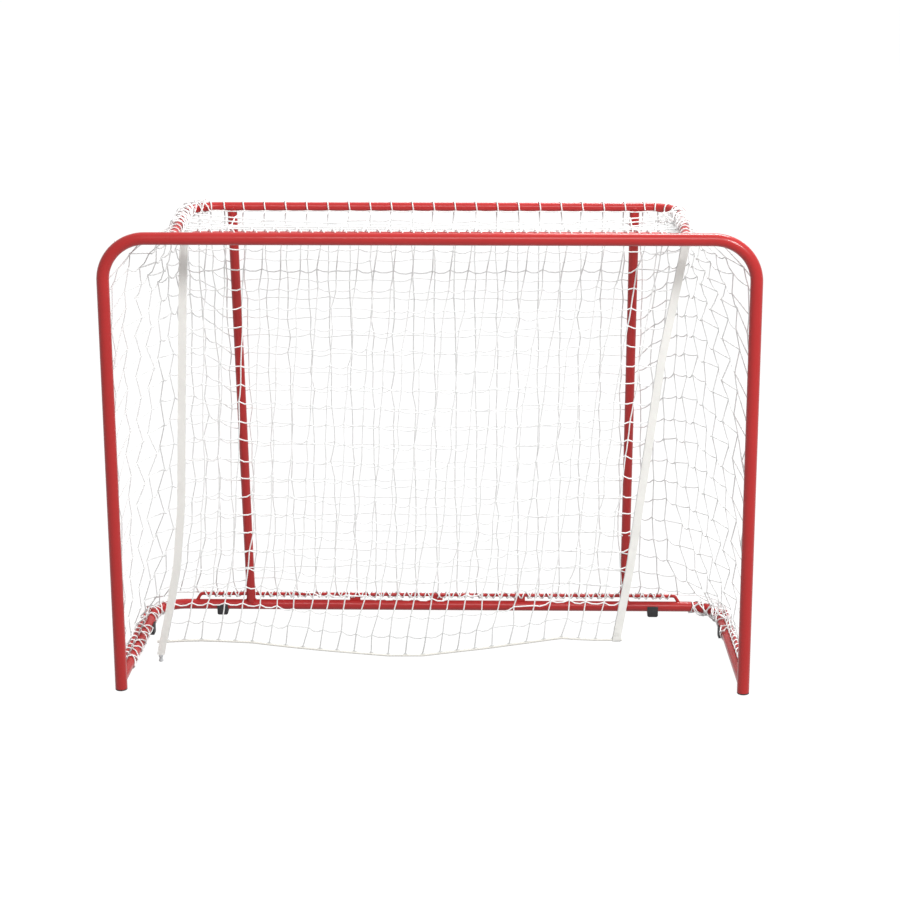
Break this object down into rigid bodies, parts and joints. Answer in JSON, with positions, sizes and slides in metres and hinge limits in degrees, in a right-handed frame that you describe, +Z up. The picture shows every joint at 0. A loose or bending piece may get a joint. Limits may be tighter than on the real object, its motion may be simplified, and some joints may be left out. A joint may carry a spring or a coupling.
{
  "type": "multisport goal",
  "caption": "Free-standing tubular steel goal with a bent front hoop, floor and roof frames, slanting rear struts, laced net and a loose inner net that swings.",
  "frame": {"origin": "on the floor, in the middle of the outline", "axes": "+X to the right seen from the front, +Y to the back of the goal, +Z up"},
  "size_m": [1.4566, 0.5098, 1.079],
  "materials": {
    "red_paint": "gloss powder coat",
    "white_cord": "matt knotted polyethylene cord",
    "cream_webbing": "matt woven webbing",
    "black_rubber": "matt",
    "black_plastic": "satin",
    "zinc_steel": "zinc plated",
    "grey_plastic": "satin"
  },
  "bodies": {
    "goal_frame": {"front_hoop": "red_paint", "base_frame": "red_paint", "top_frame": "red_paint", "strut_left": "red_paint", "strut_right": "red_paint", "rail_back_left": "red_paint", "rail_back_centre": "red_paint", "rail_back_right": "red_paint", "rail_base_left": "red_paint", "rail_base_right": "red_paint", "rail_post_left": "red_paint", "rail_post_right": "red_paint", "rail_crossbar": "red_paint", "foot_cap_left": "black_plastic", "foot_cap_right": "black_plastic", "foot_back_left": "black_rubber", "foot_back_right": "black_rubber", "foot_side_left": "black_rubber", "foot_side_right": "black_rubber", "base_screw_left": "zinc_steel", "base_screw_right": "zinc_steel", "top_screw_left": "zinc_steel", "top_screw_right": "zinc_steel", "net_roof": "white_cord", "net_back": "white_cord", "net_side_left": "white_cord", "net_side_right": "white_cord", "lacing_centre": "white_cord", "header_rope": "white_cord"},
    "inner_net": {"drop_net": "white_cord", "drop_hem_rope": "white_cord", "drop_strap_left": "cream_webbing", "drop_strap_right": "cream_webbing", "strap_toggle": "grey_plastic"}
  },
  "joints": [
    {"name": "inner_net_swing", "type": "hinge", "parent": "goal_frame", "child": "inner_net", "pos_m": [0, -0.0909, 1.0514], "axis": [1, 0, 0], "range_deg": [-25, 15]}
  ]
}
